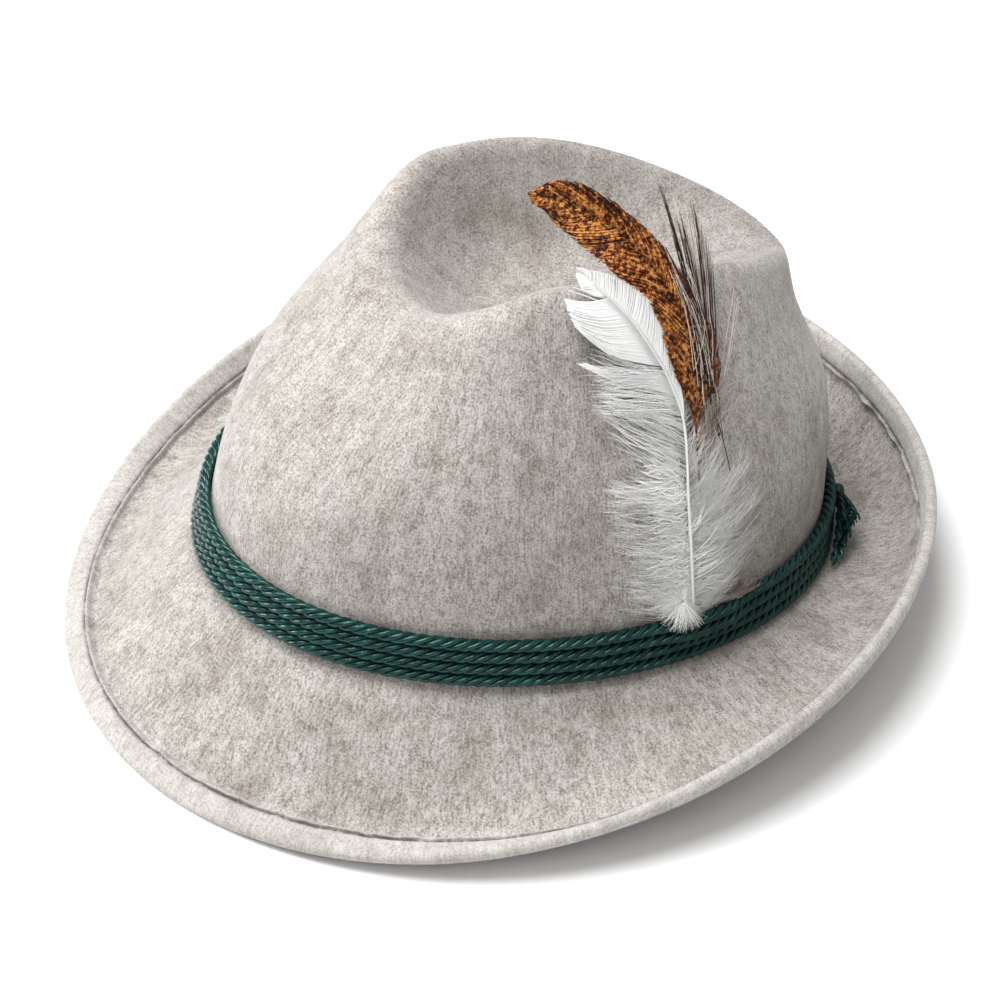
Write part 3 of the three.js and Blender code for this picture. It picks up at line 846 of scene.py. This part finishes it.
def white_mesh():
    parts = []
    line = table_line(WHITE_RACHIS, np.linspace(0, 1, 70))[None]
    t = np.linspace(0, 1, 70)
    shaft = np.clip(0.62 * (1 - t) ** 0.7, 0.10, None)
    parts.append(strips("rachis", line, shaft[None], shaft[None], 8, 1.0))
    taper = np.array([0.75, 1, 1, 1, 0.95, 0.85, 0.6, 0.16])
    for pairs, count, bow in ((WHITE_FORE, 170, 0.06), (WHITE_FORE_TIP, 80, 0.05), (WHITE_AFT, 230, -0.08)):
        lines = vane(WHITE_RACHIS, pairs, count, bow, 9)
        tint = np.clip(0.84 + rng.normal(0, 0.10, (count, 1)), 0.3, 1)
        parts.append(strips("vane", lines, 0.30 * taper[None], 0.07 * taper[None], 4, np.repeat(tint, 8, 1)))
    # two loose barbs in the split, and a narrow lock that has split off below the vane
    root = table_line(WHITE_RACHIS, np.array([0.80, 0.82]))
    lines = barb_lines(root, np.array([[-34.5, 128.6, 2.6], [-31.0, 129.4, 2.6]]), np.array([0, 0.8, 0.2]), 8)
    parts.append(strips("loose", lines, 0.20 * taper[None], 0.07 * taper[None], 4, 1.0))
    n = 30
    root = table_line(WHITE_RACHIS, np.linspace(0.485, 0.56, n))
    tip = np.array([-31.5, 107.4, 3.8]) + rng.normal(0, 1, (n, 3)) * [1.6, 0.25, 0.1]
    lines = barb_lines(root, tip, np.array([0.0, -0.6, 0.5]), 8)
    parts.append(strips("lock", lines, 0.26 * taper[None], 0.06 * taper[None], 4, 1.0))
    # hairs of the afterfeather, in tufts between the vane and the down
    tufts, each = 17, 15
    at = np.linspace(0.34, 0.58, tufts) + rng.normal(0, 0.008, tufts)
    low = (0.60 - at) / 0.27
    tip = np.stack([-10 - 19 * rng.uniform(0.35, 1, tufts), 107 - 19 * low + rng.normal(0, 2.2, tufts), rng.normal(4.8, 0.7, tufts)], 1)
    bow = np.stack([rng.normal(0, 1, tufts), 2.0 + rng.normal(0, 1.8, tufts), rng.uniform(0, 1, tufts)], 1)
    of_tuft = np.repeat(np.arange(tufts), each)
    root = table_line(WHITE_RACHIS, at[of_tuft] + rng.normal(0, 0.012, tufts * each))
    tip = tip[of_tuft] + rng.normal(0, 1, (tufts * each, 3)) * [2.8, 2.2, 0.4]
    lines = barb_lines(root, tip, bow[of_tuft] + rng.normal(0, 0.5, (tufts * each, 3)), 8)
    parts.append(strips("hairs", lines, 0.095 * taper[None], 0.06 * taper[None], 4, 1.0))
    # the same on the other side, short
    n = 70
    at = rng.uniform(0.30, 0.46, n)
    root = table_line(WHITE_RACHIS, at)
    tip = root + np.stack([rng.uniform(6, 20, n), rng.uniform(2, 14, n), rng.normal(0.3, 0.5, n)], 1)
    bow = np.stack([rng.normal(0, 1, n), -1.5 + rng.normal(0, 1, n), rng.uniform(0, 1, n)], 1)
    lines = barb_lines(root, tip, bow, 8)
    parts.append(strips("hairs", lines, 0.08 * taper[None], 0.06 * taper[None], 3, 0.75))
    return joined("white_plume", parts)


new_piece("white_plume", white_mesh(), WHITE_FINISH, "white_vane", "white_feather")

# Centre line of the brown feather (back, up, out), then its half widths towards the front and the back
BROWN_LINE = [
    (6, 10, 1.5, 0, 0),
    (6, 17, 1.6, 0, 0),
    (6.5, 23, 2.6, 0, 0),
    (8, 45, 2.6, 0, 0),
    (9, 66, 3.0, 0.5, 0.5),
    (10, 82, 5.4, 2.0, 2.0),
    (11.8, 89.3, 6.4, 5.4, 5.4),
    (15, 97.1, 6.9, 8.8, 9.4),
    (16.7, 107.8, 6.7, 10.4, 11.2),
    (15.8, 118.5, 5.8, 9.4, 9.2),
    (14.1, 127.3, 3.6, 10.6, 9.6),
    (10, 135.9, 0.6, 13.0, 10.2),
    (6, 142.8, -4, 13.0, 9.0),
    (-1.5, 148.4, -9, 10.6, 8.2),
    (-9.5, 151.8, -14.5, 7.0, 6.0),
    (-16.0, 154.0, -19, 1.0, 1.0),
]


def brown_mesh():
    parts = []
    rows = len(BROWN_LINE)
    t = np.linspace(0, 1, 90)
    line = table_line(BROWN_LINE, t)
    shaft = np.clip(0.45 * (1 - t) ** 0.8, 0.12, None)
    shaft_line = line[:, :3] - [0, 0, 0.1]
    parts.append(strips("rachis", shaft_line[None], shaft[None], shaft[None], 8, 0.35))
    taper = np.array([0.8, 1, 1, 1, 1, 0.9, 0.75, 0.3])
    count = 300
    first = 5.0 / (rows - 1)
    for sign, column in ((-1, 3), (1, 4)):
        at = np.linspace(first, 0.995, count)
        # a barb runs forward beside the shaft, so it follows the curl of the feather
        lead = (0.115 + locked(count, 10, 0.003)) * np.clip((1 - at) / 0.12, 0.15, 1)
        grow = 1 + locked(count, 10, 0.018) + rng.normal(0, 0.025, count)
        lines = np.zeros((count, 8, 3))
        for k, t in enumerate(np.linspace(0, 1, 8)):
            run = np.minimum(at + lead * t, 1.0)
            here = table_line(BROWN_LINE, run)
            ahead = table_line(BROWN_LINE, np.minimum(run + 0.01, 1.0)) - table_line(BROWN_LINE, run - 0.01)
            way = unit(ahead[:, :3] * [1, 1, 0])
            aside = np.stack([way[:, 1], -way[:, 0], np.zeros(count)], 1) * sign
            share = t**0.85
            lines[:, k] = here[:, :3] + aside * (here[:, column] * grow * share)[:, None]
            lines[:, k, 2] += 0.35 * math.sin(math.pi * t) - 0.05 * here[:, column] * t
        lines[:, :, 2] += rng.normal(0, 0.14, (count, 1))
        root = lines[:, 0]
        # bars: dark bands across the feather, bent forward like the barbs, with broken edges
        out_share = np.linspace(0, 1, 8)[None]
        run = (at[:, None] + lead[:, None] * out_share) * (rows - 1)
        bars = 0.54 + 0.15 * np.sin(TURN * (run * 2.1 + 0.3 * np.sin(run * 2.3)))
        rim = 1 - (0.45 if sign > 0 else 0.1) * out_share**2
        tint = bars * rim + rng.normal(0, 0.11, (count, 1)) + rng.normal(0, 0.05, (count, 8))
        parts.append(strips("vane", lines, 0.34 * taper[None], 0.075 * taper[None], 4, tint))
    # loose barbs at the foot of the vane
    n = 60
    root = table_line(BROWN_LINE, rng.uniform(first - 0.06, first + 0.04, n))[:, :3]
    tip = root + np.stack([rng.uniform(-3, 13, n), rng.uniform(6, 26, n), rng.uniform(0, 1.6, n)], 1)
    lines = barb_lines(root, tip, np.stack([rng.normal(0, 0.8, n), np.zeros(n), rng.uniform(0, 1, n)], 1), 8)
    parts.append(strips("fluff", lines, 0.10 * taper[None], 0.06 * taper[None], 3, rng.uniform(0.1, 1.1, (n, 1)) + np.zeros((1, 8))))
    return joined("brown_plume", parts)


new_piece("brown_plume", brown_mesh(), BROWN_FINISH, "brown_vane", "brown_feather")

# Reach of the down to the front and the back of its shaft, at heights above the foot of the crown
DOWN_OUTLINE = [(6, -12, 17), (16, -16, 21.7), (22, -18.5, 24), (35, -23, 32), (48, -25, 37), (60, -25, 32), (72, -22, 25), (84, -12, 16)]


def down_part(count, root_up, root_back, side, reach, spread, out, width, tint, rise, flat=1.0):
    """Fine hairs that leave the shaft between two heights, to one side, in tufts that share a tip."""
    tufts = max(count // 14, 1)
    tuft = rng.integers(0, tufts, count)
    up = rng.uniform(*root_up, tufts)
    share = reach[0] + (reach[1] - reach[0]) * rng.beta(1.5, 1.7, tufts)
    edge = table_curve(DOWN_OUTLINE, 1 if side < 0 else 2, np.clip(up + rise, 6, 84))
    middle = np.stack(
        [root_back + (edge - root_back) * share, up + rise * share + rng.normal(0, spread, tufts), rng.uniform(*out, tufts)], 1
    )
    root_up_each = up[tuft] + rng.normal(0, 1.6, count)
    back0 = root_back + rng.normal(0, 0.6, count)
    root = np.stack([back0, np.maximum(root_up_each, 17), rng.uniform(1.6, 3.8, count)], 1)
    tip = middle[tuft] + rng.normal(0, 1, (count, 3)) * [2.2, 2.0, 0.7]
    tip[:, 1] = np.maximum(tip[:, 1], 17.5 + rng.uniform(0, 3, count))
    bow = np.stack([rng.normal(0, 1.0, count), rng.normal(-0.12 * rise, 1.2, count), rng.uniform(0.1, 1.2, count)], 1)
    lines = barb_lines(root, tip, bow + rng.normal(0, 1.2, (tufts, 3))[tuft] * [1, 1, 0.3], 6)
    wobble = rng.normal(0, 0.3, (count, 6, 2))
    wobble[:, 0] = 0
    lines[:, :, :2] += wobble
    lines[:, :, 2] = np.maximum(lines[:, :, 2], 0.7)
    taper = np.array([1, 1, 0.9, 0.8, 0.6, 0.3])
    shade = np.clip(tint + 0.12 + rng.normal(0, 0.08, (count, 1)), 0, 1.2) + np.zeros((1, 6))
    return strips("down", lines, width * taper[None], width * flat * taper[None], 3 if flat == 1 else 4, shade)


def down_mesh():
    parts = [
        down_part(900, (17, 72), 1.6, -1, (0.05, 0.58), 2.4, (2.4, 3.9), 0.30, 1.0, 5, 0.2),
        down_part(420, (17, 68), 1.6, -1, (0.10, 0.60), 2.6, (3.2, 4.4), 0.08, 1.0, 6),
        down_part(1000, (17, 82), 1.6, -1, (0.35, 1.12), 3.5, (1.2, 4.0), 0.050, 1.0, 8),
        down_part(150, (17, 50), 2.4, 1, (0.05, 0.50), 3.5, (2.4, 3.6), 0.26, 0.98, 6, 0.2),
        down_part(650, (17, 60), 3.0, 1, (0.10, 0.80), 4.0, (1.6, 4.2), 0.060, 1.0, 8),
        down_part(700, (17, 64), 5.0, 1, (0.30, 1.12), 5.0, (1.2, 5.0), 0.050, 0.98, 12),
        down_part(350, (17, 30), 5.0, 1, (0.10, 0.85), 3.0, (1.5, 5.0), 0.060, 1.0, 3),
        down_part(200, (52, 80), 8.0, 1, (0.20, 0.90), 6.0, (2.0, 5.0), 0.040, 0.9, 12),
    ]
    # round tuft at the foot, which hangs over the top row of the band
    n = 1100
    turn = rng.uniform(0, TURN, n)
    far = rng.beta(2.2, 1.2, n)
    centre = np.array([-3.0, 24.5, 0])
    root = centre + np.stack([0.5 * np.cos(turn), 0.5 * np.sin(turn), rng.uniform(3.0, 5.4, n)], 1)
    tip = centre + np.stack([10.5 * far * np.cos(turn), 11 * far * np.sin(turn), 4.6 - 1.4 * far], 1)
    over = np.clip((19.5 - tip[:, 1]) / 3, 0, 1)
    tip[:, 2] += over * rng.uniform(4.0, 5.4, n) + rng.normal(0, 0.4, n)
    bow = rng.normal(0, 0.8, (n, 3)) * [1, 1, 0.3]
    bow[:, 2] += 1.6 * over + 0.6
    lines = barb_lines(root, tip, bow, 6)
    parts.append(strips("foot", lines, np.linspace(0.14, 0.04, 6)[None], np.linspace(0.06, 0.03, 6)[None], 3, 1.0))
    # brown fluff beside the band
    n = 170
    root = np.stack([rng.normal(19, 1.5, n), rng.uniform(16, 19, n), rng.uniform(1.5, 3.5, n)], 1)
    tip = root + np.stack([rng.normal(3.5, 3, n), rng.uniform(1, 9, n), rng.uniform(0.5, 3, n)], 1)
    lines = barb_lines(root, tip, rng.normal(0, 0.8, (n, 3)), 6)
    lines[:, :, 2] = np.maximum(lines[:, :, 2], 0.8)
    parts.append(strips("fluff", lines, 0.055, 0.055, 3, rng.uniform(-0.1, 0.5, (n, 1)) + np.zeros((1, 6))))
    return joined("down", parts)


new_piece("down", down_mesh(), DOWN_FINISH, "down", "down_tuft")

WISP_ROOT = [(13.5, 10, 1.3), (13.5, 17, 1.4), (14.5, 23, 1.8), (18, 60, 2.0), (20, 86, 4.4)]
# Tips of the loose dark barbs: back, up, out, and half width of the lock
WISP_TIPS = [
    (33, 151, -1, 0.26),
    (34, 140, 1, 0.24),
    (31.5, 145, 0, 0.16),
    (37.5, 144.5, 0, 0.26),
    (41, 140, 1, 0.15),
    (44.5, 145, 2, 0.26),
    (43, 135, 3, 0.24),
    (40.5, 138, 3, 0.15),
    (48.4, 116.7, 4, 0.20),
    (29, 128, 3, 0.22),
    (27.5, 135, 2, 0.16),
    (35.0, 134, 2, 0.20),
]


def wisp_mesh():
    parts = []
    line = table_line(WISP_ROOT, np.linspace(0, 1, 24))[None]
    parts.append(strips("stem", line, 0.26, 0.26, 6, 0.9))
    tips = np.array(WISP_TIPS)
    for k, (back, up, out, half) in enumerate(tips):
        n = int(62 * half) if up > 120 else 4
        root = table_line(WISP_ROOT, np.linspace(0.90, 1.0, n)) + rng.normal(0, 1, (n, 3)) * [0.9, 1.5, 0.4]
        tip = np.array([back, up, out]) + rng.normal(0, 1, (n, 3)) * [0.25, 4.0, 0.2]
        bow = np.array([-0.10 * (back - 20), 0, max(0.0, 4.5 - out) * 0.5])
        lines = barb_lines(root, tip, bow + rng.normal(0, 0.25, (n, 3)), 9)
        taper = np.linspace(1, 0.3, 9) ** 0.7
        pale = rng.uniform(0, 1, (n, 1)) > 0.72
        tint = np.where(pale, 0.8, 0.10) + rng.normal(0, 0.06, (n, 1)) + np.zeros((1, 9))
        parts.append(strips("wisp", lines, 0.24 * taper[None], 0.12 * taper[None], 4, tint))
    # strands that lie over the rear half of the brown feather
    n = 60
    t = np.linspace(0, 1, 9)[None, :, None]
    root = np.stack([rng.uniform(13, 21, n), rng.uniform(86, 100, n), np.zeros(n)], 1)
    tip = np.stack([rng.uniform(18, 27, n), rng.uniform(112, 136, n), np.zeros(n)], 1)
    middle = (root + tip) / 2 + rng.normal(0, 0.7, (n, 3)) + [1.6, 0, 0]
    lines = (1 - t) ** 2 * root[:, None] + 2 * t * (1 - t) * middle[:, None] + t**2 * tip[:, None]
    face = [(r[1], r[2]) for r in BROWN_LINE if r[1] > 80]
    lines[:, :, 2] = np.interp(lines[:, :, 1], *zip(*face)) + rng.uniform(0.5, 1.1, (n, 1)) + 0.5 * t[0, :, 0]
    tint = np.where(rng.uniform(0, 1, (n, 1)) > 0.6, 0.85, 0.12) + np.zeros((1, 9))
    parts.append(strips("over", lines, 0.16 * np.linspace(1, 0.4, 9)[None], 0.10, 4, tint))
    # one dark barb that hangs over the down
    lines = np.array([(18.8, 85.3, 5.2), (18.2, 80, 6.4), (18.0, 74, 6.8), (18.6, 65.8, 6.4)])
    lines = table_line(lines, np.linspace(0, 1, 9))[None]
    parts.append(strips("dark", lines, 0.20, 0.12, 4, 0.05))
    # pale and dark down at the foot of these barbs
    n = 220
    root = np.stack([rng.normal(15.5, 2.2, n), rng.uniform(78, 90, n), rng.uniform(4.5, 7.0, n)], 1)
    tip = root + np.stack([rng.uniform(-2, 15, n), rng.uniform(2, 24, n), rng.normal(0, 0.8, n)], 1)
    lines = barb_lines(root, tip, rng.normal(0, 1.0, (n, 3)), 7)
    parts.append(strips("base", lines, 0.055, 0.055, 3, rng.uniform(0.2, 1.3, (n, 1)) + np.zeros((1, 7))))
    return joined("wisps", parts)


new_piece("wisps", wisp_mesh(), DARK_FINISH, "dark_barbs", "brown_wisps")


# Floor, light and camera


def floor_piece():
    bm = bmesh.new()
    bmesh.ops.create_grid(bm, x_segments=1, y_segments=1, size=4)
    mesh = bpy.data.meshes.new("floor")
    bm.to_mesh(mesh)
    bm.free()
    floor = bpy.data.objects.new("floor", mesh)
    bpy.context.scene.collection.objects.link(floor)
    f = Finish("studio_floor", 0.9, Specular_IOR_Level=0.1)
    f.colour((0.93, 0.93, 0.93, 1))
    mesh.materials.append(f.material)


floor_piece()


def area_light(name, place, size, power, towards=(0, 0, 0.06)):
    light = bpy.data.lights.new(name, "AREA")
    light.shape = "DISK"
    light.size = size
    light.energy = power
    piece = bpy.data.objects.new(name, light)
    bpy.context.scene.collection.objects.link(piece)
    piece.location = place
    piece.rotation_mode = "QUATERNION"
    piece.rotation_quaternion = (Vector(towards) - Vector(place)).to_track_quat("-Z", "Y")


# Directions seen from the camera: its right, its up and towards it
AZIMUTH, ELEVATION, ROLL = 60.803, 41.088, -0.566
FOCAL, DISTANCE = 3861.75, 1317.12
AIM_RIGHT, AIM_UP = 0.538, 26.913


def camera_piece():
    a, e, r = map(math.radians, (AZIMUTH, ELEVATION, ROLL))
    back = Vector((math.sin(a) * math.cos(e), -math.cos(a) * math.cos(e), math.sin(e)))
    right = Vector((math.cos(a), math.sin(a), 0))
    up = back.cross(right)
    x = right * math.cos(r) + up * math.sin(r)
    y = -right * math.sin(r) + up * math.cos(r)
    place = (right * AIM_RIGHT + up * AIM_UP + back * DISTANCE) * MM
    data = bpy.data.cameras.new("camera")
    data.sensor_width = 36
    data.lens = FOCAL * 36 / 1000
    data.clip_start, data.clip_end = 0.05, 50
    piece = bpy.data.objects.new("camera", data)
    bpy.context.scene.collection.objects.link(piece)
    piece.matrix_world = Matrix.Translation(place) @ Matrix((x, y, back)).transposed().to_4x4()
    bpy.context.scene.camera = piece
    return right, up, back


right, up, back = camera_piece()
area_light("key", -right * 1.95 + up * 1.0 + back * 0.08, 0.7, 26)
area_light("fill", -right * 0.3 + up * 0.5 + back * 2.0, 1.8, 9)
area_light("top", -right * 0.45 + up * 1.45 + back * 1.15, 1.3, 44)

world = bpy.data.worlds.new("studio")
world.use_nodes = True
world.node_tree.nodes["Background"].inputs[0].default_value = (1, 1, 1, 1)
world.node_tree.nodes["Background"].inputs[1].default_value = 0.34
bpy.context.scene.world = world
bpy.context.scene.view_settings.view_transform = "Standard"

bpy.context.view_layer.update()
